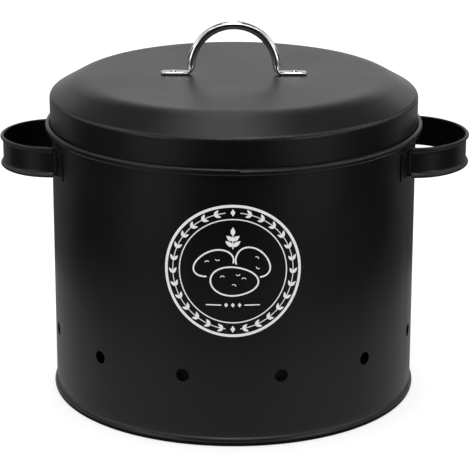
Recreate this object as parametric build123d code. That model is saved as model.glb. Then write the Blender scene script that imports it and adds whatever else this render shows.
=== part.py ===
"""Potato storage bin: rolled sheet body, seamed base, two strap handles, slip-over lid with an arch handle.

Millimetres. The origin is on the floor at the centre of the base, +Z is up, the side handles lie on the
X axis, the front is towards -Y and the body's side seam is at the back, on +Y.
"""
from build123d import *
import os
from math import acos, atan2, cos, degrees, dist, pi, radians, sin, sqrt

# ---- sheet body -------------------------------------------------------------------------------
SHEET = 0.5                 # tinplate thickness of body, base and lid
BODY_R = 120.0              # outside of the rolled wall
WALL_FOOT_Z = 1.0           # lower edge of the wall, held inside the base seam
RIM_CURL_D = 4.0            # safe edge rolled inward at the mouth
RIM_CURL_TURN = 290.0       # degrees of roll
SEAM_WIDTH = 6.0            # lock seam, folded to the inside
SEAM_DEPTH = 0.8
SEAM_LAP = 0.1              # how far the seam's folds reach into the wall
SEAM_GROOVE = 0.25          # depth of the line it leaves outside
SEAM_GROOVE_WIDTH = 0.6
SEAM_Z = (8.0, 194.0)

VENT_COUNT = 12
VENT_R = 4.2
VENT_Z = 46.6
VENT_FIRST = 15.0           # degrees from the front

# ---- base ---------------------------------------------------------------------------------------
CHIME_R = 121.5             # outside of the double seam
CHIME_H = 6.0               # its face swells out and back from top to bottom
CHIME_INNER_R = 118.4
CHIME_INNER_H = 5.3
SEAM_WEB = 0.9              # sheet folds under the wall's lower edge
SEAM_FIT = 0.03             # room each side of the wall inside the seam
PANEL_Z = 3.6               # underside of the base panel's outer ring
PANEL_STEP_R = 96.0
PANEL_STEP = 1.0            # the middle of the panel is pressed up this much

# ---- side handles -------------------------------------------------------------------------------
STRAP = 0.6                 # strap thickness
HEM_D = 2.4                 # rolled edges of the strap
HEM_LAP = 0.1               # how far a rolled edge stands past the strap on its inner side
HEM_FLARE_R = 3.0           # hollow curve by which the strap's face runs out to a rolled edge
HANDLE_TOP_Z = {"left": 173.1, "right": 175.0}
HANDLE_HEIGHT = 20.4
HANDLE_REACH = {"left": 154.5, "right": 155.4}    # outermost point, over the rolled edges
LOOP_HALF_WIDTH = {"left": 38.2, "right": 43.0}   # over the rolled edges; the right one is bent wider
LOOP_CORNER_R = 33.0
LOOP_CROWN_R = {"left": 40.0, "right": 45.0}
TAB_BEND_R = 1.8            # inside bend where the strap meets the wall
TAB_LENGTH = 13.0           # along the wall
HEM_SET = 0.5               # the rolled edges start this far outward of the bend

TAB_RIVET_PITCH = 12.4      # the two rivets of a tab, one above the other
TAB_RIVET_R = 1.2
TAB_RIVET_HEAD_R = 2.1
TAB_RIVET_HEAD_H = 0.5
TAB_RIVET_TAIL_R = 2.0
TAB_RIVET_TAIL_H = 0.7
HOLE_FIT = 0.05             # room round every rivet shank
PUNCH = 10.0                # length of the tools that cut the holes
TAIL_FIT = 0.04             # room for the wall's curve under the flat face of a rivet's tail

# ---- lid ------------------------------------------------------------------------------------------
LID_R = 121.0               # outside of the skirt
LID_TOP_Z = 213.1
LID_FLAT_R = 94.9           # the flat top ends here
LID_EDGE_R = 21.9           # rounding from the flat top into the sloping shoulder
LID_CORNER_R = 3.2          # rounding at the head of the skirt
LID_CORNER_Z = 199.7        # height of its centre
BEAD_WIDTH = 3.6            # edge of the skirt, rolled outward to an upright oval
BEAD_H = 4.8
BEAD_Z = 181.0              # its middle
BEAD_CLOSING = 110.0        # degrees of the bead's upper arc
LID_REST_GAP = 0.3          # between the lid's inside and the body's rim, which carries it

# The shoulder slopes straight from the one rounding to the other: their centres as (radius, height), and
# how far the shoulder leans, which is also how far its normal leans out from upright.
LID_EDGE = (LID_FLAT_R, LID_TOP_Z - LID_EDGE_R)
LID_CORNER = (LID_R - LID_CORNER_R, LID_CORNER_Z)
LID_SLOPE = pi / 2 - atan2(LID_CORNER[1] - LID_EDGE[1], LID_CORNER[0] - LID_EDGE[0]) - acos(
    (LID_EDGE_R - LID_CORNER_R) / dist(LID_EDGE, LID_CORNER))

# The rim's roll reaches up into the rounding of the lid's corner: the height of the roll's centre.
RIM_CURL_R = RIM_CURL_D / 2
RIM_CURL_Z = LID_CORNER_Z + sqrt(
    (LID_CORNER_R - SHEET - LID_REST_GAP - RIM_CURL_R) ** 2 - (BODY_R - RIM_CURL_R - LID_CORNER[0]) ** 2)

# ---- lid handle -------------------------------------------------------------------------------------
ROD_D = 5.5
ARCH_R = 28.0               # centre line of the arch
ARCH_TOP_Z = 245.8          # centre line at the crown
TAB_T = 2.0                 # flattened ends, with round edges
TAB_W = 7.6
TAB_END_X = 47.9
TAB_END_CORNER_R = 3.2
TAB_EDGE_R = 0.95
TAB_OVERLAP = 1.2
FLATTEN_FROM = 5.0          # degrees above the arch's springing where the rod starts to flatten
FOOT_SECTIONS = 7           # cross sections from there to the tab
LID_RIVET_X = 39.7
LID_RIVET_R = 1.5
LID_RIVET_HEAD_R = 2.7
LID_RIVET_HEAD_H = 0.8
LID_RIVET_TAIL_R = 2.6
LID_RIVET_TAIL_H = 1.0
WASHER_R = 4.5
WASHER_T = 0.8


# ---- shared helpers -------------------------------------------------------------------------------
def slab(r0, r1, z0, z1):
    """Rectangle of a turned profile, from radius r0 to r1 and height z0 to z1."""
    return Pos((r0 + r1) / 2, (z0 + z1) / 2) * Rectangle(r1 - r0, z1 - z0)


def turned(profile):
    """Solid of revolution about Z of a profile drawn as (radius, height)."""
    return revolve(Plane.XZ * profile, Axis.Z, 360)


def curl(r, z, diameter, start, turn):
    """Profile of a rolled sheet edge: part of a ring, one sheet thick, centred at radius r, height z."""
    outer = CenterArc((r, z), diameter / 2, start, turn)
    inner = CenterArc((r, z), diameter / 2 - SHEET, start, turn)
    return make_face([outer, Line(outer @ 0, inner @ 0), inner, Line(outer @ 1, inner @ 1)])


def rivet(shank_r, grip, head_r, head_h, tail_r, tail_h):
    """Rivet along +Z: domed head from z = 0 up, shank down through the grip, upset tail below it."""
    dome_r = (head_r ** 2 + head_h ** 2) / (2 * head_h)
    head = turned(make_face([
        Line((0, 0), (head_r, 0)),
        RadiusArc((head_r, 0), (0, head_h), -dome_r),
        Line((0, head_h), (0, 0))]))
    shank = turned(slab(0, shank_r, -grip - tail_h / 2, head_h / 2))
    tail = turned(slab(0, tail_r, -grip - tail_h, -grip))
    return head + shank + tail


# ---- body and base ----------------------------------------------------------------------------------
def body_shell():
    """Rolled wall with its mouth curled inward, a side seam at the back and the ring of vents."""
    wall = slab(BODY_R - SHEET, BODY_R, WALL_FOOT_Z, RIM_CURL_Z)
    rim = curl(BODY_R - RIM_CURL_R, RIM_CURL_Z, RIM_CURL_D, 0, RIM_CURL_TURN)
    shell = turned(wall) + turned(rim)
    seam_mid = (SEAM_Z[0] + SEAM_Z[1]) / 2
    seam_y = BODY_R - SHEET + SEAM_LAP - SEAM_DEPTH / 2
    shell += Pos(0, seam_y, seam_mid) * Box(SEAM_WIDTH, SEAM_DEPTH, SEAM_Z[1] - SEAM_Z[0])
    shell -= Pos(-SEAM_WIDTH / 2, BODY_R, seam_mid) * Box(
        SEAM_GROOVE_WIDTH, 2 * SEAM_GROOVE, SEAM_Z[1] - SEAM_Z[0])
    vent = Pos(0, -BODY_R, VENT_Z) * Rot(90, 0, 0) * Cylinder(VENT_R, PUNCH)
    for index in range(VENT_COUNT):
        shell -= Rot(0, 0, VENT_FIRST + index * 360 / VENT_COUNT) * vent
    for side in LOOP_HALF_WIDTH:
        for place in tab_rivet_places(side):
            shell -= place * Cylinder(TAB_RIVET_R + HOLE_FIT, PUNCH)
    return shell


def base_plate():
    """Pressed base: stepped panel, and an edge folded round the foot of the wall as a double seam."""
    inside, outside = BODY_R - SHEET - SEAM_FIT, BODY_R + SEAM_FIT
    corners = [(outside, 0), (CHIME_INNER_R, 0), (CHIME_INNER_R, CHIME_INNER_H), (inside, CHIME_INNER_H),
               (inside, SEAM_WEB), (outside, SEAM_WEB), (outside, CHIME_H)]
    swell = ThreePointArc((outside, CHIME_H), (CHIME_R, CHIME_H / 2), (outside, 0))
    hook = make_face([Line(a, b) for a, b in zip(corners, corners[1:])] + [swell])
    panel = slab(PANEL_STEP_R - SHEET, CHIME_INNER_R + SHEET, PANEL_Z, PANEL_Z + SHEET)
    step = slab(PANEL_STEP_R - SHEET, PANEL_STEP_R, PANEL_Z, PANEL_Z + PANEL_STEP + SHEET)
    middle = slab(0, PANEL_STEP_R, PANEL_Z + PANEL_STEP, PANEL_Z + PANEL_STEP + SHEET)
    return turned(hook + panel + step + middle)


# ---- side handles -------------------------------------------------------------------------------------
def loop_geometry(side, outward=0.0):
    """Radii and centres of the strap's plan curve, moved outward from its mid surface.

    The handle is drawn at +X. Returns the straight legs' distance from the X axis, the corner arcs'
    radius and centre x, and the crown arc's radius and centre x.
    """
    to_mid = HEM_D - STRAP / 2
    leg_y = LOOP_HALF_WIDTH[side] - to_mid
    corner_r = LOOP_CORNER_R - to_mid
    crown_r = LOOP_CROWN_R[side] - to_mid
    crown_x = HANDLE_REACH[side] - to_mid - crown_r
    corner_x = crown_x + sqrt((crown_r - corner_r) ** 2 - (leg_y - corner_r) ** 2)
    return leg_y + outward, corner_r + outward, corner_x, crown_r + outward, crown_x


def loop_edges(side, start_x, outward=0.0):
    """Edges of the loop in plan, from the front leg at start_x round to the back leg."""
    leg_y, corner_r, corner_x, crown_r, crown_x = loop_geometry(side, outward)
    corner_y = leg_y - corner_r
    reach_angle = degrees(atan2(corner_y, corner_x - crown_x))
    return [
        Line((start_x, -leg_y), (corner_x, -leg_y)),
        CenterArc((corner_x, -corner_y), corner_r, -90, 90 - reach_angle),
        CenterArc((crown_x, 0), crown_r, -reach_angle, 2 * reach_angle),
        CenterArc((corner_x, corner_y), corner_r, reach_angle, 90 - reach_angle),
        Line((corner_x, leg_y), (start_x, leg_y)),
    ]


def tab_geometry(side):
    """Mid-surface radius of a tab, its bend's centre as (x, y) and radius, and its first and last angle."""
    leg_y = loop_geometry(side)[0]
    tab_r = BODY_R + STRAP / 2
    bend_r = TAB_BEND_R + STRAP / 2
    bend_y = leg_y + bend_r
    bend_x = sqrt((tab_r + bend_r) ** 2 - bend_y ** 2)
    first = degrees(atan2(bend_y, bend_x))
    return tab_r, (bend_x, bend_y), bend_r, first, first + degrees(TAB_LENGTH / tab_r)


def tab_edges(side):
    """Front tab and bend in plan, from the tab's free end to the start of the front leg."""
    tab_r, (bend_x, bend_y), bend_r, first, last = tab_geometry(side)
    return [
        CenterArc((0, 0), tab_r, -last, last - first),
        CenterArc((bend_x, -bend_y), bend_r, 180 - first, first - 90),
    ]


def tab_rivet_places(side):
    """Locations of the four rivets of one handle, each with +Z pointing out of the wall."""
    first, last = tab_geometry(side)[3:]
    middle = (first + last) / 2 + degrees(TAB_BEND_R / BODY_R) / 2
    mid_z = HANDLE_TOP_Z[side] - HANDLE_HEIGHT / 2
    places = []
    for angle in (-middle, middle):
        if side == "left":
            angle = 180 - angle
        for z in (mid_z - TAB_RIVET_PITCH / 2, mid_z + TAB_RIVET_PITCH / 2):
            places.append(Rot(0, 0, angle) * Pos(BODY_R + STRAP, 0, z) * Rot(0, 90, 0))
    return places


def hem_profile(way):
    """Section of a rolled edge, drawn from the roll's centre with x outward.

    The strap's face comes down from +y if way is 1 and up from -y if it is -1, and runs out to the roll
    in a hollow curve.
    """
    roll_r = HEM_D / 2
    face_x = STRAP + HEM_LAP - roll_r
    centre_x = face_x + HEM_FLARE_R
    centre_y = sqrt((HEM_FLARE_R + roll_r) ** 2 - centre_x ** 2)
    turn = atan2(centre_y, centre_x)
    hollow = [(centre_x - HEM_FLARE_R * cos(turn * share), way * (centre_y - HEM_FLARE_R * sin(turn * share)))
              for share in (0, 0.5, 1)]
    inner_x = face_x - STRAP / 2
    corners = [hollow[2], (0, 0), (inner_x, 0), (inner_x, way * centre_y), hollow[0]]
    flare = make_face([ThreePointArc(*hollow)] + [Line(a, b) for a, b in zip(corners, corners[1:])])
    return Circle(roll_r) + flare


def strap_handle(side):
    """Strap loop with both edges rolled outward and its ends bent along the wall."""
    bend_x = tab_geometry(side)[1][0]
    front = tab_edges(side)
    back = [edge.mirror(Plane.XZ) for edge in front]
    path = Wire(front + loop_edges(side, bend_x) + back)
    foot_z = HANDLE_TOP_Z[side] - HANDLE_HEIGHT
    strap = Pos(0, 0, foot_z + HEM_D / 2) * extrude(trace(path, STRAP), HANDLE_HEIGHT - HEM_D)
    hem_path = Wire(loop_edges(side, bend_x + HEM_SET, HEM_D / 2 - STRAP / 2 - HEM_LAP))
    outward = Plane(hem_path @ 0, x_dir=(0, -1, 0), z_dir=hem_path % 0)
    for z, way in ((foot_z + HEM_D / 2, -1), (HANDLE_TOP_Z[side] - HEM_D / 2, 1)):
        strap += Pos(0, 0, z) * sweep(outward * hem_profile(way), path=hem_path)
    if side == "left":
        strap = Rot(0, 0, 180) * strap
    for place in tab_rivet_places(side):
        strap -= place * Cylinder(TAB_RIVET_R + HOLE_FIT, PUNCH)
    return strap


def handle_rivets(side):
    """The four rivets that hold one side handle to the wall."""
    one = rivet(TAB_RIVET_R, STRAP + SHEET + TAIL_FIT, TAB_RIVET_HEAD_R, TAB_RIVET_HEAD_H,
                TAB_RIVET_TAIL_R, TAB_RIVET_TAIL_H)
    return Compound(children=[place * one for place in tab_rivet_places(side)])


# ---- lid ------------------------------------------------------------------------------------------------
def lid_region(inset):
    """Region under the lid's outline, moved in by inset, from the axis down to the bead's centre."""
    lean = degrees(LID_SLOPE)
    top = LID_TOP_Z - inset
    edge = CenterArc(LID_EDGE, LID_EDGE_R - inset, 90, -lean)
    round_over = CenterArc(LID_CORNER, LID_CORNER_R - inset, 90 - lean, lean - 90)
    return make_face([
        Line((0, BEAD_Z), (0, top)),
        Line((0, top), (LID_FLAT_R, top)),
        edge,
        Line(edge @ 1, round_over @ 0),
        round_over,
        Line(round_over @ 1, (LID_R - inset, BEAD_Z)),
        Line((LID_R - inset, BEAD_Z), (0, BEAD_Z))])


def bead_profile():
    """Profile of the skirt's rolled edge: down along the skirt, round below, up outside and over the top."""
    inner_r = LID_R - SHEET
    outer_r = inner_r + BEAD_WIDTH
    low_z, high_z = (BEAD_Z + way * (BEAD_H - BEAD_WIDTH) / 2 for way in (-1, 1))
    middle_r = inner_r + BEAD_WIDTH / 2
    return (slab(inner_r, LID_R, low_z, BEAD_Z)
            + curl(middle_r, low_z, BEAD_WIDTH, 180, 180)
            + slab(outer_r - SHEET, outer_r, low_z, high_z)
            + curl(middle_r, high_z, BEAD_WIDTH, 0, BEAD_CLOSING))


def lid_shell():
    """Pressed lid: flat top, sloping shoulder, straight skirt, and a bead rolled outward at its edge."""
    shell = turned(lid_region(0) - lid_region(SHEET)) + turned(bead_profile())
    for x in (-LID_RIVET_X, LID_RIVET_X):
        shell -= Pos(x, 0, LID_TOP_Z) * Cylinder(LID_RIVET_R + HOLE_FIT, PUNCH)
    return shell


def rod_section(share, springing_z, bend_r):
    """Cross section of the flattening rod at +X, share being its place from the arch, 0, to the tab, 1."""
    above = ARCH_R * radians(FLATTEN_FROM)
    along = share * (above + bend_r * pi / 2) - above
    if along <= 0:
        turn = -along / ARCH_R
        place = (ARCH_R * cos(turn), 0, springing_z + ARCH_R * sin(turn))
    else:
        turn = along / bend_r
        place = (ARCH_R + bend_r * (1 - cos(turn)), 0, springing_z - bend_r * sin(turn))
    flattened = share * share * (3 - 2 * share)
    width = ROD_D + (TAB_W - ROD_D) * flattened
    thickness = ROD_D + (TAB_T - ROD_D) * flattened
    section = Plane(place, x_dir=(0, 1, 0), z_dir=(sin(turn), 0, -cos(turn)))
    return section * Ellipse(width / 2, thickness / 2)


def lid_handle():
    """Round rod bent to an arch across the lid, each end bent outward and flattened to a riveted tab."""
    springing_z = ARCH_TOP_Z - ARCH_R
    tab_mid_z = LID_TOP_Z + TAB_T / 2
    bend_r = springing_z - tab_mid_z
    arch = Plane.XZ * CenterArc((0, springing_z), ARCH_R, FLATTEN_FROM, 180 - 2 * FLATTEN_FROM)
    rod = sweep(Plane(arch @ 0, z_dir=arch % 0) * Circle(ROD_D / 2), path=arch)

    foot = loft([rod_section(index / (FOOT_SECTIONS - 1), springing_z, bend_r)
                 for index in range(FOOT_SECTIONS)])
    foot &= Pos(ARCH_R, 0, LID_TOP_Z + ARCH_R) * Box(2 * ARCH_R, 2 * TAB_W, 2 * ARCH_R)

    tab_start = ARCH_R + bend_r - TAB_OVERLAP
    tab = Pos((tab_start + TAB_END_X) / 2, 0, tab_mid_z) * Box(TAB_END_X - tab_start, TAB_W, TAB_T)
    tab = fillet(tab.edges().filter_by(Axis.Z), TAB_END_CORNER_R)
    tab = fillet(tab.faces().sort_by(Axis.Z)[-1].edges() + tab.faces().sort_by(Axis.Z)[0].edges(), TAB_EDGE_R)
    tab -= Pos(LID_RIVET_X, 0, tab_mid_z) * Cylinder(LID_RIVET_R + HOLE_FIT, 2 * TAB_T)
    end_piece = foot + tab
    return rod + end_piece + Rot(0, 0, 180) * end_piece


def lid_handle_rivets():
    """The two domed rivets through the handle's tabs, the lid and the washers."""
    one = rivet(LID_RIVET_R, TAB_T + SHEET + WASHER_T, LID_RIVET_HEAD_R, LID_RIVET_HEAD_H,
                LID_RIVET_TAIL_R, LID_RIVET_TAIL_H)
    head_z = LID_TOP_Z + TAB_T
    return Compound(children=[Pos(x, 0, head_z) * one for x in (-LID_RIVET_X, LID_RIVET_X)])


def lid_handle_washers():
    """The washer under the lid at each rivet."""
    mid_z = LID_TOP_Z - SHEET - WASHER_T / 2
    one = Cylinder(WASHER_R, WASHER_T) - Cylinder(LID_RIVET_R + HOLE_FIT, 2 * WASHER_T)
    return Compound(children=[Pos(x, 0, mid_z) * one for x in (-LID_RIVET_X, LID_RIVET_X)])


NODES = {
    "body_shell": body_shell(),
    "base_plate": base_plate(),
    "left_handle": strap_handle("left"),
    "right_handle": strap_handle("right"),
    "left_handle_rivets": handle_rivets("left"),
    "right_handle_rivets": handle_rivets("right"),
    "lid_shell": lid_shell(),
    "lid_handle": lid_handle(),
    "lid_handle_rivets": lid_handle_rivets(),
    "lid_handle_washers": lid_handle_washers(),
}

os.makedirs("parts", exist_ok=True)
for name, shape in NODES.items():
    export_step(shape, f"parts/{name}.step")
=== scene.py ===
"""Dresses the potato storage bin and sets its studio.

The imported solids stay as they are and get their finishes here: satin black powder coat on the tinplate,
polished steel on the lid's handle, plain steel on the washers. The printed emblem on the front is built
here as thin raised ink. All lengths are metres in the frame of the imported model, unless they are said to
be millimetres: +Z is up, the front of the bin is towards -Y and the side handles lie on the X axis.
"""

import logging
import math
from dataclasses import dataclass
from enum import Enum
from typing import Callable, Iterable, Sequence

import bmesh
import bpy
from mathutils import Matrix, Vector


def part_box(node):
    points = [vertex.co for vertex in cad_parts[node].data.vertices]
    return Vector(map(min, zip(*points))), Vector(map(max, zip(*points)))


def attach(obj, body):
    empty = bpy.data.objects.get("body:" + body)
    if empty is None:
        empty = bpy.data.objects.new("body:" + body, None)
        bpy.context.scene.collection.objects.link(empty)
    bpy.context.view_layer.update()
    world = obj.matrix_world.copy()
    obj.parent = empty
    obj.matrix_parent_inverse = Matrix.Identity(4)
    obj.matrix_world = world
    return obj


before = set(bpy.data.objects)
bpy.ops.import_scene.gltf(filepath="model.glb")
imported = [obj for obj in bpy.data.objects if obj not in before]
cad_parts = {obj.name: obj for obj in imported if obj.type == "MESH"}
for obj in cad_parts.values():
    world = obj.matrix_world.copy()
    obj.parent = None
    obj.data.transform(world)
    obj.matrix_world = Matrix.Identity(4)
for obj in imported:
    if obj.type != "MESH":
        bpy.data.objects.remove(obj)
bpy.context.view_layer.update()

MM = 0.001
log = logging.getLogger("potato_bin")

Point = tuple[float, float]
Span = tuple[float, float]
Place = tuple[float, float, float]
Colour = tuple[float, float, float]


# ---- finishes ---------------------------------------------------------------------------------------
class Graph:
    """Short way to add and join the shader nodes of one material or world."""

    def __init__(self, owner: bpy.types.Material | bpy.types.World) -> None:
        """Empties the node tree of a material or a world.

        Args:
            owner: What the nodes are for.
        """
        self.owner = owner
        self.owner.use_nodes = True
        self.tree = owner.node_tree
        self.tree.nodes.clear()

    def node(self, kind: str, settings: dict | None = None, **inputs: object) -> bpy.types.Node:
        """Adds one node.

        Args:
            kind: The node's type, without its "ShaderNode" prefix.
            settings: The node's own properties.
            **inputs: Its sockets by name, with _ for a space; a value, or a socket to join to.

        Returns:
            The new node.
        """
        made = self.tree.nodes.new("ShaderNode" + kind)
        for key, value in (settings or {}).items():
            setattr(made, key, value)
        for key, value in inputs.items():
            socket = made.inputs[key.replace("_", " ")]
            if isinstance(value, bpy.types.NodeSocket):
                self.tree.links.new(value, socket)
            else:
                socket.default_value = value
        return made

    def noise(self, scale: float, detail: float,
              stretch: Sequence[float] = (1, 1, 1)) -> bpy.types.NodeSocket:
        """Adds noise that is fixed to the object.

        Args:
            scale: Features to the metre.
            detail: Octaves.
            stretch: Factors on the three axes before the noise is read.

        Returns:
            The noise's value.
        """
        place = self.node("TexCoord").outputs["Object"]
        place = self.node("Mapping", Vector=place, Scale=stretch).outputs["Vector"]
        return self.node("TexNoise", Vector=place, Scale=scale, Detail=detail).outputs["Fac"]

    def between(self, value: bpy.types.NodeSocket, span: Span, result: Span = (0, 1)) -> bpy.types.NodeSocket:
        """Maps a value from one range to another, clamped.

        Args:
            value: The value to map.
            span: Its range.
            result: The range that it is mapped to.

        Returns:
            The mapped value.
        """
        made = self.node("MapRange", None, Value=value)
        for key, number in zip(("From Min", "From Max", "To Min", "To Max"), (*span, *result)):
            made.inputs[key].default_value = number
        return made.outputs["Result"]

    def tint(self, value: bpy.types.NodeSocket, dark: Colour, light: Colour) -> bpy.types.NodeSocket:
        """Mixes two colours by a value.

        Args:
            value: The share of the light colour.
            dark: Linear RGB at 0.
            light: Linear RGB at 1.

        Returns:
            The mixed colour.
        """
        share, first_colour, last_colour, colour_out = 0, 6, 7, 2
        mix = self.node("Mix", {"data_type": "RGBA"})
        self.tree.links.new(value, mix.inputs[share])
        mix.inputs[first_colour].default_value = (*dark, 1)
        mix.inputs[last_colour].default_value = (*light, 1)
        return mix.outputs[colour_out]

    def bump(self, height: bpy.types.NodeSocket, strength: float, depth: float,
             under: bpy.types.NodeSocket | None = None) -> bpy.types.NodeSocket:
        """Adds relief.

        Args:
            height: The relief's height, from 0 to 1.
            strength: Its strength.
            depth: Its depth in metres.
            under: Normal of the relief that this one lies on.

        Returns:
            The new normal.
        """
        made = self.node("Bump", None, Height=height, Strength=strength, Distance=depth)
        if under is not None:
            self.tree.links.new(under, made.inputs["Normal"])
        return made.outputs["Normal"]

    def close(self, surface: bpy.types.Node,
              output: str = "OutputMaterial") -> bpy.types.Material | bpy.types.World:
        """Joins the last shader to the output.

        Args:
            surface: The shader that the surface shows.
            output: The output's type, "OutputMaterial" or "OutputWorld".

        Returns:
            The finished material or world.
        """
        out = self.node(output)
        self.tree.links.new(surface.outputs[0], out.inputs["Surface"])
        return self.owner


def start_material(name: str) -> Graph:
    """Starts an empty material."""
    return Graph(bpy.data.materials.new(name))


@dataclass(frozen=True)
class PowderCoat:
    """Satin black powder coat: fine grain over a faint orange peel, with slow drifts of its gloss."""

    name: str
    dark: float = 0.0012
    light: float = 0.0030
    roughness: Span = (0.33, 0.40)
    ior: float = 1.45
    grain_per_m: float = 2600
    grain_span: Span = (0.35, 0.65)
    grain_depth: float = 0.02 * MM
    peel_per_m: float = 520
    peel_depth: float = 0.05 * MM
    bump_strength: float = 0.35
    drift_per_m: float = 16
    drift_span: Span = (0.3, 0.7)

    def make(self) -> bpy.types.Material:
        """Builds the material.

        Returns:
            The powder coat.
        """
        g = start_material(self.name)
        grain = g.noise(self.grain_per_m, detail=3)
        peel = g.noise(self.peel_per_m, detail=2)
        drift = g.noise(self.drift_per_m, detail=3)
        shade = g.tint(g.between(grain, self.grain_span), (self.dark,) * 3, (self.light,) * 3)
        gloss = g.between(drift, self.drift_span, self.roughness)
        under = g.bump(peel, self.bump_strength, self.peel_depth)
        normal = g.bump(grain, self.bump_strength, self.grain_depth, under)
        return g.close(g.node("BsdfPrincipled", None, Base_Color=shade, Roughness=gloss, IOR=self.ior,
                              Normal=normal))


@dataclass(frozen=True)
class PolishedSteel:
    """Bright polished steel with fine draw lines along the rod and a faint haze."""

    name: str
    dark: Colour = (0.60, 0.60, 0.61)
    light: Colour = (0.76, 0.76, 0.77)
    roughness: Span = (0.07, 0.16)
    line_per_m: float = 900
    line_span: Span = (0.3, 0.7)
    line_depth: float = 0.01 * MM
    bump_strength: float = 0.2
    stretch: tuple[float, float, float] = (0.12, 1, 0.12)
    haze_per_m: float = 90
    haze_span: Span = (0.3, 0.7)

    def make(self) -> bpy.types.Material:
        """Builds the material.

        Returns:
            The polished steel.
        """
        g = start_material(self.name)
        lines = g.noise(self.line_per_m, detail=4, stretch=self.stretch)
        haze = g.noise(self.haze_per_m, detail=3)
        shade = g.tint(g.between(lines, self.line_span), self.dark, self.light)
        gloss = g.between(haze, self.haze_span, self.roughness)
        normal = g.bump(lines, self.bump_strength, self.line_depth)
        return g.close(g.node("BsdfPrincipled", None, Base_Color=shade, Roughness=gloss, Metallic=1.0,
                              Normal=normal))


@dataclass(frozen=True)
class PrintInk:
    """Screen-printed off-white ink, matt, a little uneven in its cover."""

    name: str
    thin: Colour = (0.78, 0.78, 0.77)
    full: Colour = (0.93, 0.93, 0.92)
    roughness: float = 0.55
    cover_per_m: float = 900
    cover_span: Span = (0.32, 0.48)
    cover_depth: float = 0.02 * MM
    bump_strength: float = 0.3

    def make(self) -> bpy.types.Material:
        """Builds the material.

        Returns:
            The ink.
        """
        g = start_material(self.name)
        cover = g.noise(self.cover_per_m, detail=4)
        shade = g.tint(g.between(cover, self.cover_span), self.thin, self.full)
        normal = g.bump(cover, self.bump_strength, self.cover_depth)
        return g.close(g.node("BsdfPrincipled", None, Base_Color=shade, Roughness=self.roughness,
                              Normal=normal))


def dress(node: str, material: bpy.types.Material) -> None:
    """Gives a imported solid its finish.

    Args:
        node: Name of the solid's node.
        material: The finish.
    """
    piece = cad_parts[node]
    piece.data.materials.clear()
    piece.data.materials.append(material)
    log.info("%s wears %s", node, material.name)


# ---- the printed emblem -----------------------------------------------------------------------------
class Stroke(Enum):
    """Widths of the emblem's drawn lines, in millimetres."""

    BOLD = 1.7
    PLAIN = 1.0
    FINE = 0.7
    STEM = 0.5


def polar(radius: float, degrees: float) -> Point:
    """Point at a distance and an angle, counted anticlockwise from +u."""
    return radius * math.cos(math.radians(degrees)), radius * math.sin(math.radians(degrees))


def arc(radius: float, first: float, last: float, step: float = 2.0) -> list[Point]:
    """Points along a circle about the emblem's middle.

    Args:
        radius: The circle's radius.
        first: First angle in degrees, from +u.
        last: Last angle.
        step: Largest step between points.

    Returns:
        The points.
    """
    count = max(2, math.ceil(abs(last - first) / step) + 1)
    return [polar(radius, first + (last - first) * k / (count - 1)) for k in range(count)]


def leaf(base: Point, heading: float, length: float, width: float) -> list[Point]:
    """Outline of a pointed leaf that is widest a little nearer its base.

    Args:
        base: Where it leaves its stem.
        heading: Direction in degrees, from +u.
        length: Its length.
        width: Its widest.

    Returns:
        The outline, anticlockwise.
    """
    along = Vector(polar(1, heading))
    across = Vector((-along.y, along.x))
    steps, belly = 8, 0.8
    rim = []
    for side, order in ((-1, range(steps)), (1, range(steps, 0, -1))):
        for k in order:
            share = k / steps
            half = width / 2 * math.sin(math.pi * share ** belly)
            rim.append(tuple(Vector(base) + along * length * share + across * side * half))
    return rim


@dataclass(frozen=True)
class Tuber:
    """One drawn tuber, lumpy and lying at a lean, with its eyes as short arcs.

    Its lengths are millimetres, its lean and the turns of its eyes degrees, and lumps_at, which says where
    its lumps lie, is radians. Each eye is its place and its turn.
    """

    centre: Point
    half_length: float
    half_height: float
    lean: float
    lumps_at: float
    eyes: tuple[tuple[Point, float], ...]
    steps: int = 56
    oval_swell: float = 0.045
    knob_swell: float = 0.03
    eye_half: Point = (1.3, 1.0)
    eye_sweep: int = 150
    eye_step: int = 25

    def outline(self) -> list[Point]:
        """Works out its outline, anticlockwise.

        Returns:
            The outline.
        """
        lean = math.radians(self.lean)
        rim = []
        for k in range(self.steps):
            a = 2 * math.pi * k / self.steps
            swell = (1 + self.oval_swell * math.sin(2 * a + self.lumps_at)
                     + self.knob_swell * math.sin(3 * a + 2 * self.lumps_at))
            u = self.half_length * swell * math.cos(a)
            v = self.half_height * swell * math.sin(a)
            rim.append((self.centre[0] + u * math.cos(lean) - v * math.sin(lean),
                        self.centre[1] + u * math.sin(lean) + v * math.cos(lean)))
        return rim

    def covers(self, point: Point, margin: float) -> bool:
        """Tells whether it hides a point of what lies behind it.

        Args:
            point: The point.
            margin: How far its cover reaches, as a share of its own size.

        Returns:
            Whether the point is hidden.
        """
        return math.hypot((point[0] - self.centre[0]) / (self.half_length * margin),
                          (point[1] - self.centre[1]) / (self.half_height * margin)) <= 1

    def eye_arcs(self) -> list[list[Point]]:
        """Works out the arcs of its eyes.

        Returns:
            One path for each eye.
        """
        wide, tall = self.eye_half
        return [[(u + wide * math.cos(math.radians(a + turn)), v + tall * math.sin(math.radians(a + turn)))
                 for a in range(0, self.eye_sweep + 1, self.eye_step)] for (u, v), turn in self.eyes]


FRONT_TUBER = Tuber((0.5, -6.5), 14.5, 9.6, -6, 0.6,
                    (((-6.5, -4.0), 20), ((0.5, -9.5), -15), ((6.8, -5.2), 10), ((3.2, -1.6), 200)))
REAR_TUBERS = (Tuber((-12.0, 5.0), 12.6, 8.2, 24, 2.1, (((-16.0, 5.6), 30), ((-9.5, 8.0), 190))),
               Tuber((12.4, 5.6), 12.0, 8.4, -30, 4.0, (((14.6, 8.4), -25), ((15.8, 2.6), 160))))


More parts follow.
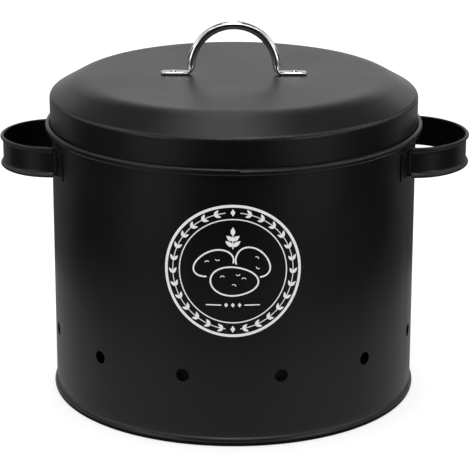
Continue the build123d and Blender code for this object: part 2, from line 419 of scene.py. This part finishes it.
@dataclass
class Emblem:
    """Round printed emblem: two rings with a leaf garland between them, round a heap of three tubers.

    It is drawn flat in millimetres, u to the right and v up from its middle, and wrapped onto the wall.
    A leaf splay is the degrees that a leaf stands off its branch and the leaf's length, a sprig leaf is
    its place as a share of the stem and its length, and a diamond is half its width and half its height.
    The angles of the garland and of the sprig's leaves are degrees, and turn is radians.
    """

    ink: bpy.types.Material
    wall_r: float
    centre_z: float = 116.75
    turn: float = math.radians(0.27)
    sunk: float = 0.12
    raised: float = 0.08
    radius: float = 43.0
    inner_radius: float = 33.6
    stem_radius: float = 37.9
    branch_gap: float = 7.0
    leaf_pairs: int = 13
    leaf_start: float = 0.15
    leaf_splays: tuple[Span, ...] = ((-34, 4.6), (34, 4.3))
    leaf_width: float = 1.9
    ring_diamond: Point = (1.5, 2.3)
    heap_gap: float = 1.13
    sprig_foot: float = 14.6
    sprig_top: float = 24.2
    sprig_leaves: tuple[Span, ...] = ((0.15, 6.0), (0.55, 5.2))
    sprig_headings: Span = (38, 142)
    sprig_leaf_width: float = 2.7
    sprig_tip: Span = (5.4, 2.9)
    rule_v: float = -22.0
    rule_start: float = 7.2
    rule_step: float = 1.6
    rule_steps: int = 6
    rule_diamond: Point = (1.2, 1.5)
    diamond_pitch: float = 4.2

    def wrap(self, u: float, v: float, lift: float) -> Vector:
        """Place on the wall of a point of the flat drawing.

        Args:
            u: Millimetres to the right.
            v: Millimetres up.
            lift: Millimetres out of the wall.

        Returns:
            The place in metres.
        """
        angle = u / self.wall_r + self.turn
        out = self.wall_r + lift
        return Vector((out * math.sin(angle), -out * math.cos(angle), self.centre_z + v)) * MM

    def patch(self, mesh: bmesh.types.BMesh, rim: Sequence[Point]) -> None:
        """Adds a filled patch of ink as a closed solid.

        Args:
            mesh: The mesh that it is added to.
            rim: Its outline, anticlockwise.
        """
        top = [mesh.verts.new(self.wrap(u, v, self.raised)) for u, v in rim]
        foot = [mesh.verts.new(self.wrap(u, v, -self.sunk)) for u, v in rim]
        mesh.faces.new(top)
        mesh.faces.new(foot[::-1])
        for here in range(len(rim)):
            after = (here + 1) % len(rim)
            mesh.faces.new((foot[here], foot[after], top[after], top[here]))

    def diamond(self, mesh: bmesh.types.BMesh, u: float, v: float, half: Point) -> None:
        """Adds a diamond.

        Args:
            mesh: The mesh that it is added to.
            u: Its middle, to the right.
            v: Its middle, up.
            half: Half its width and half its height.
        """
        wide, tall = half
        self.patch(mesh, [(u + wide, v), (u, v + tall), (u - wide, v), (u, v - tall)])

    def line(self, mesh: bmesh.types.BMesh, path: Sequence[Point], stroke: Stroke,
             closed: bool = False) -> None:
        """Adds a drawn line as a closed solid ribbon.

        Args:
            mesh: The mesh that it is added to.
            path: The line's middle.
            stroke: Its width.
            closed: Whether the last point joins the first.
        """
        count = len(path)
        rows = []
        for here, (u, v) in enumerate(path):
            before = path[(here - 1) % count] if closed or here else path[here]
            after = path[(here + 1) % count] if closed or here < count - 1 else path[here]
            along = Vector((after[0] - before[0], after[1] - before[1])).normalized()
            side = Vector((-along.y, along.x)) * stroke.value / 2
            corners = ((u + side.x, v + side.y, self.raised), (u - side.x, v - side.y, self.raised),
                       (u - side.x, v - side.y, -self.sunk), (u + side.x, v + side.y, -self.sunk))
            rows.append([mesh.verts.new(self.wrap(*corner)) for corner in corners])
        for here in range(count if closed else count - 1):
            row, after_row = rows[here], rows[(here + 1) % count]
            for k in range(4):
                mesh.faces.new((row[k], row[(k + 1) % 4], after_row[(k + 1) % 4], after_row[k]))
        if not closed:
            mesh.faces.new(rows[0][::-1])
            mesh.faces.new(rows[-1])

    def rings(self, mesh: bmesh.types.BMesh) -> None:
        """Draws the two rings and the diamonds where the garland's ends meet.

        Args:
            mesh: The mesh that they are added to.
        """
        for radius, stroke in ((self.radius - Stroke.BOLD.value / 2, Stroke.BOLD),
                               (self.inner_radius, Stroke.FINE)):
            self.line(mesh, arc(radius, 0, 360)[:-1], stroke, closed=True)
        for v in (self.stem_radius, -self.stem_radius):
            self.diamond(mesh, 0, v, self.ring_diamond)

    def garland(self, mesh: bmesh.types.BMesh) -> None:
        """Draws the two leafy branches between the rings, from the foot up to the top.

        Args:
            mesh: The mesh that they are added to.
        """
        for side in (-1, 1):
            start, end = -90 + side * self.branch_gap, -90 + side * (180 - self.branch_gap)
            self.line(mesh, arc(self.stem_radius, start, end), Stroke.STEM)
            for k in range(self.leaf_pairs):
                angle = start + (end - start) * (k + self.leaf_start) / self.leaf_pairs
                base = polar(self.stem_radius, angle)
                for splay, length in self.leaf_splays:
                    self.patch(mesh, leaf(base, angle + side * 90 + splay, length, self.leaf_width))

    def heap(self, mesh: bmesh.types.BMesh) -> None:
        """Draws three tubers with their eyes, the two at the back cut short where the front one hides them.

        Args:
            mesh: The mesh that they are added to.
        """
        self.line(mesh, FRONT_TUBER.outline(), Stroke.PLAIN, closed=True)
        for tuber in REAR_TUBERS:
            shown = [point for point in tuber.outline() if not FRONT_TUBER.covers(point, self.heap_gap)]
            cut = max(range(len(shown)), key=lambda k: math.dist(shown[k - 1], shown[k]))
            self.line(mesh, shown[cut:] + shown[:cut], Stroke.PLAIN)
        for tuber in (FRONT_TUBER, *REAR_TUBERS):
            for eye in tuber.eye_arcs():
                self.line(mesh, eye, Stroke.STEM)

    def sprig(self, mesh: bmesh.types.BMesh) -> None:
        """Draws the sprouting sprig above the heap and the rule with three diamonds below it.

        Args:
            mesh: The mesh that they are added to.
        """
        stem_steps, tip_lap = 4, 1.0
        rise = self.sprig_top - self.sprig_foot
        self.line(mesh, [(0, self.sprig_foot + rise * k / stem_steps) for k in range(stem_steps + 1)],
                  Stroke.FINE)
        self.patch(mesh, leaf((0, self.sprig_top - tip_lap), 90, *self.sprig_tip))
        for share, length in self.sprig_leaves:
            base = (0, self.sprig_foot + rise * share)
            for heading in self.sprig_headings:
                self.patch(mesh, leaf(base, heading, length, self.sprig_leaf_width))
        for u in (-self.diamond_pitch, 0.0, self.diamond_pitch):
            self.diamond(mesh, u, self.rule_v, self.rule_diamond)
        for side in (-1, 1):
            self.line(mesh, [(side * (self.rule_start + k * self.rule_step), self.rule_v)
                             for k in range(self.rule_steps + 1)], Stroke.FINE)

    def print_piece(self, name: str, draw: Callable[[bmesh.types.BMesh], None]) -> None:
        """Makes one piece of the print and fixes it to the bin.

        Args:
            name: The piece's name.
            draw: What adds its shapes to a mesh.
        """
        mesh = bmesh.new()
        draw(mesh)
        bmesh.ops.recalc_face_normals(mesh, faces=mesh.faces)
        data = bpy.data.meshes.new(name)
        mesh.to_mesh(data)
        mesh.free()
        data.materials.append(self.ink)
        piece = bpy.data.objects.new(name, data)
        bpy.context.scene.collection.objects.link(piece)
        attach(piece, "bin")
        log.info("%s has %d faces", name, len(data.polygons))

    def build(self) -> None:
        """Prints the four pieces."""
        for name, draw in (("emblem_rings", self.rings), ("emblem_garland", self.garland),
                           ("emblem_tubers", self.heap), ("emblem_sprig", self.sprig)):
            self.print_piece(name, draw)


# ---- the bin ----------------------------------------------------------------------------------------
@dataclass
class Bin:
    """The standing half: rolled wall, pressed base and the two riveted strap handles."""

    coat: PowderCoat
    ink: PrintInk

    def build(self) -> None:
        """Dresses the solids and prints the emblem on the front."""
        coat = self.coat.make()
        for node in ("body_shell", "base_plate", "left_handle", "right_handle",
                     "left_handle_rivets", "right_handle_rivets"):
            dress(node, coat)
        wall_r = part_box("body_shell")[1].x / MM
        Emblem(self.ink.make(), wall_r).build()


@dataclass
class Lid:
    """The lid with its arched rod handle, two rivets and their washers."""

    coat: PowderCoat
    rod: PolishedSteel
    washer: PolishedSteel

    def build(self) -> None:
        """Dresses the lid's solids."""
        dress("lid_shell", self.coat.make())
        polish = self.rod.make()
        for node in ("lid_handle", "lid_handle_rivets"):
            dress(node, polish)
        dress("lid_handle_washers", self.washer.make())


# ---- the studio -------------------------------------------------------------------------------------
@dataclass(frozen=True)
class Softbox:
    """One rectangular soft light that hangs level and shines straight down."""

    name: str
    width: float
    depth: float
    place: Place
    radiance: float

    def build(self) -> None:
        """Hangs the light."""
        lamp = bpy.data.lights.new(self.name, "AREA")
        lamp.shape = "RECTANGLE"
        lamp.size, lamp.size_y = self.width, self.depth
        lamp.energy = self.radiance * math.pi * self.width * self.depth
        light = bpy.data.objects.new(self.name, lamp)
        light.location = self.place
        bpy.context.scene.collection.objects.link(light)
        log.info("%s hangs at %s", self.name, self.place)


@dataclass(frozen=True)
class RoundCard:
    """A card bent round the bin that only reflections see, the same on the left and on the right.

    It runs from one radius and height to another, and its turns are degrees from the front of the bin.
    """

    name: str
    radii: Span
    heights: Span
    turns: Span
    level: float
    facet: float = 6.0

    def mesh(self) -> tuple[list[Place], list[tuple[int, ...]]]:
        """Works out the card's shape.

        Returns:
            Its points and its faces.
        """
        verts, faces = [], []
        first, last = self.turns
        steps = max(2, math.ceil((last - first) / self.facet))
        for side in (-1, 1):
            start = len(verts)
            for k in range(steps + 1):
                a = side * math.radians(first + (last - first) * k / steps)
                verts += [(r * math.sin(a), -r * math.cos(a), z) for r, z in zip(self.radii, self.heights)]
            faces += [(start + 2 * k, start + 2 * k + 1, start + 2 * k + 3, start + 2 * k + 2)
                      for k in range(steps)]
        return verts, faces


@dataclass(frozen=True)
class CeilingCard:
    """A square level card over the whole studio that only reflections see."""

    name: str
    half: float
    height: float
    level: float

    def mesh(self) -> tuple[list[Place], list[tuple[int, ...]]]:
        """Works out the card's shape.

        Returns:
            Its points and its one face.
        """
        corners = [(-self.half, -self.half), (self.half, -self.half), (self.half, self.half),
                   (-self.half, self.half)]
        return [(x, y, self.height) for x, y in corners], [(0, 1, 2, 3)]


# Radii of the cards' edges: round the foot, near the bin, the studio's wall and the dark wall outside it.
CHIME_R, FOOT_R, NEAR_R, WALL_R, DARK_R = 0.1206, 0.1275, 0.31, 2.60, 2.62
# Heights: one just over the floor for each layer of cards there, the bands of the wall, and the ceilings.
LOWEST, LOWER, LOW = 0.4 * MM, 2 * MM, 3 * MM
SILL, WAIST, CEILING, ROOF = 0.35, 0.90, 1.72, 2.02

LIGHTS = (
    Softbox("top_light", 0.80, 0.70, (-0.10, 0, 1.70), 1.90),
    Softbox("rear_light", 0.36, 1.25, (-0.06, 0.975, 1.70), 2.00),
)
# Name, radii, heights, turns and level of each card, from the floor near the bin out to the dark surround.
CARDS = (
    # The card round the foot is painted shade: a dark ring just over the floor that stands in for the contact
    # shadow which the chime's lower edge reflects.
    RoundCard("foot_shade_card", (CHIME_R, FOOT_R), (LOWEST, LOWEST), (0, 180), 0.05),
    RoundCard("near_floor_card", (FOOT_R, NEAR_R), (LOW, LOW), (0, 180), 0.47),
    RoundCard("side_floor_card", (0.60, WALL_R), (LOW, LOW), (22, 62), 0.20),
    RoundCard("side_wall_card", (WALL_R, WALL_R), (LOW, WAIST), (34, 62), 2.30),
    RoundCard("dim_floor_card", (1.20, WALL_R), (LOW, LOW), (62, 110), 0.20),
    RoundCard("dim_wall_card", (WALL_R, WALL_R), (LOW, WAIST), (62, 110), 0.12),
    RoundCard("upper_side_card", (WALL_R, WALL_R), (WAIST, 1.90), (34, 62), 0.40),
    RoundCard("high_side_card", (WALL_R, WALL_R), (WAIST, 1.90), (62, 110), 1.40),
    RoundCard("back_floor_card", (NEAR_R, 0.70), (LOW, LOW), (110, 180), 0.15),
    RoundCard("far_floor_card", (0.70, WALL_R), (LOW, LOW), (110, 180), 0.36),
    RoundCard("low_back_card", (WALL_R, WALL_R), (LOW, SILL), (150, 180), 0.90),
    RoundCard("back_side_card", (WALL_R, WALL_R), (SILL, WAIST), (110, 150), 0.50),
    RoundCard("back_card", (WALL_R, WALL_R), (SILL, WAIST), (150, 180), 0.55),
    RoundCard("high_back_card", (WALL_R, WALL_R), (WAIST, 1.70), (150, 180), 1.20),
    RoundCard("rear_side_card", (WALL_R, WALL_R), (0.80, 1.70), (112, 138), 0.80),
    RoundCard("front_ceiling_card", (0.80, 1.60), (CEILING, CEILING), (0, 14), 7.00),
    RoundCard("front_side_ceiling_card", (0.80, 1.60), (CEILING, CEILING), (14, 60), 2.20),
    RoundCard("side_ceiling_card", (1.00, 2.30), (CEILING, CEILING), (68, 106), 1.50),
    RoundCard("dark_floor_card", (NEAR_R, DARK_R), (LOWER, LOWER), (0, 180), 0.01),
    RoundCard("dark_wall_card", (DARK_R, DARK_R), (LOWER, ROOF), (0, 180), 0.01),
    CeilingCard("dark_ceiling_card", 2.7, ROOF, 0.14),
)


@dataclass
class Studio:
    """Pale floor, white surroundings, soft lights, cards for the reflections and the camera.

    The lens is in millimetres and the camera's three angles are degrees.
    """

    floor_half: float = 6.0
    floor_albedo: float = 0.50
    floor_glow: float = 0.62
    room_level: float = 1.05
    lens: float = 170.07
    camera_place: Place = (0.012, -1.42, 0.552)
    camera_down: float = 17.567
    camera_left: float = 0.448
    camera_tilt: float = 0.089

    @staticmethod
    def seen_directly(g: Graph) -> bpy.types.NodeSocket:
        """Value that is 1 for camera, glossy and transmission rays and 0 for the rest.

        Args:
            g: The material or world that it is for.

        Returns:
            The value.
        """
        rays = g.node("LightPath").outputs
        total = rays["Is Camera Ray"]
        for kind in ("Is Glossy Ray", "Is Transmission Ray"):
            add = g.node("Math", {"operation": "ADD", "use_clamp": True})
            g.tree.links.new(total, add.inputs[0])
            g.tree.links.new(rays[kind], add.inputs[1])
            total = add.outputs[0]
        return total

    def floor(self) -> None:
        """Lays the floor, which keeps the bin's shadow."""
        data = bpy.data.meshes.new("floor")
        half = self.floor_half
        data.from_pydata([(-half, -half, 0), (half, -half, 0), (half, half, 0), (-half, half, 0)], [],
                         [(0, 1, 2, 3)])
        g = start_material("floor_white")
        glow = g.between(self.seen_directly(g), (0, 1), (0, self.floor_glow))
        pale = g.node("BsdfDiffuse", None, Color=(self.floor_albedo,) * 3 + (1,))
        lit = g.node("Emission", None, Color=(1, 1, 1, 1), Strength=glow)
        both = g.node("AddShader")
        g.tree.links.new(pale.outputs[0], both.inputs[0])
        g.tree.links.new(lit.outputs[0], both.inputs[1])
        data.materials.append(g.close(both))
        floor = bpy.data.objects.new("floor", data)
        bpy.context.scene.collection.objects.link(floor)

    @staticmethod
    def stand(card: RoundCard | CeilingCard) -> None:
        """Stands one card in its place.

        Args:
            card: The card.
        """
        verts, faces = card.mesh()
        data = bpy.data.meshes.new(card.name)
        data.from_pydata(verts, [], faces)
        g = start_material(card.name + "_cloth")
        data.materials.append(g.close(g.node("Emission", None, Color=(1, 1, 1, 1), Strength=card.level)))
        made = bpy.data.objects.new(card.name, data)
        for kind in ("camera", "diffuse", "transmission", "volume_scatter", "shadow"):
            setattr(made, "visible_" + kind, False)
        bpy.context.scene.collection.objects.link(made)
        log.info("%s glows at %.2f", card.name, card.level)

    def surroundings(self) -> None:
        """Sets the world: white where it is seen, plain and even as light."""
        g = Graph(bpy.data.worlds.new("studio"))
        level = g.between(self.seen_directly(g), (0, 1), (self.room_level, 1.0))
        back = g.node("Background", None, Color=(1, 1, 1, 1), Strength=level)
        bpy.context.scene.world = g.close(back, "OutputWorld")

    def camera(self) -> None:
        """Stands the camera in front, a little above the lid."""
        data = bpy.data.cameras.new("camera")
        data.lens = self.lens
        camera = bpy.data.objects.new("camera", data)
        camera.matrix_world = (Matrix.Translation(self.camera_place)
                               @ Matrix.Rotation(math.radians(self.camera_left), 4, "Z")
                               @ Matrix.Rotation(math.radians(90 - self.camera_down), 4, "X")
                               @ Matrix.Rotation(math.radians(self.camera_tilt), 4, "Z"))
        bpy.context.scene.collection.objects.link(camera)
        bpy.context.scene.camera = camera

    def build(self, lights: Iterable[Softbox], cards: Iterable[RoundCard | CeilingCard]) -> None:
        """Sets everything up.

        Args:
            lights: The soft lights to hang.
            cards: The cards to stand round the bin.
        """
        self.floor()
        self.surroundings()
        for light in lights:
            light.build()
        for card in cards:
            self.stand(card)
        self.camera()
        bpy.context.scene.view_settings.view_transform = "Standard"


def main() -> None:
    """Builds the bin, the lid and the studio, in that order."""
    logging.basicConfig(level=logging.INFO, format="%(message)s")
    Bin(PowderCoat("powder_coat"), PrintInk("print_ink")).build()
    Lid(PowderCoat("lid_powder_coat"), PolishedSteel("polished_steel"),
        PolishedSteel("washer_steel", roughness=(0.25, 0.4))).build()
    Studio().build(LIGHTS, CARDS)


if __name__ == "__main__":
    main()
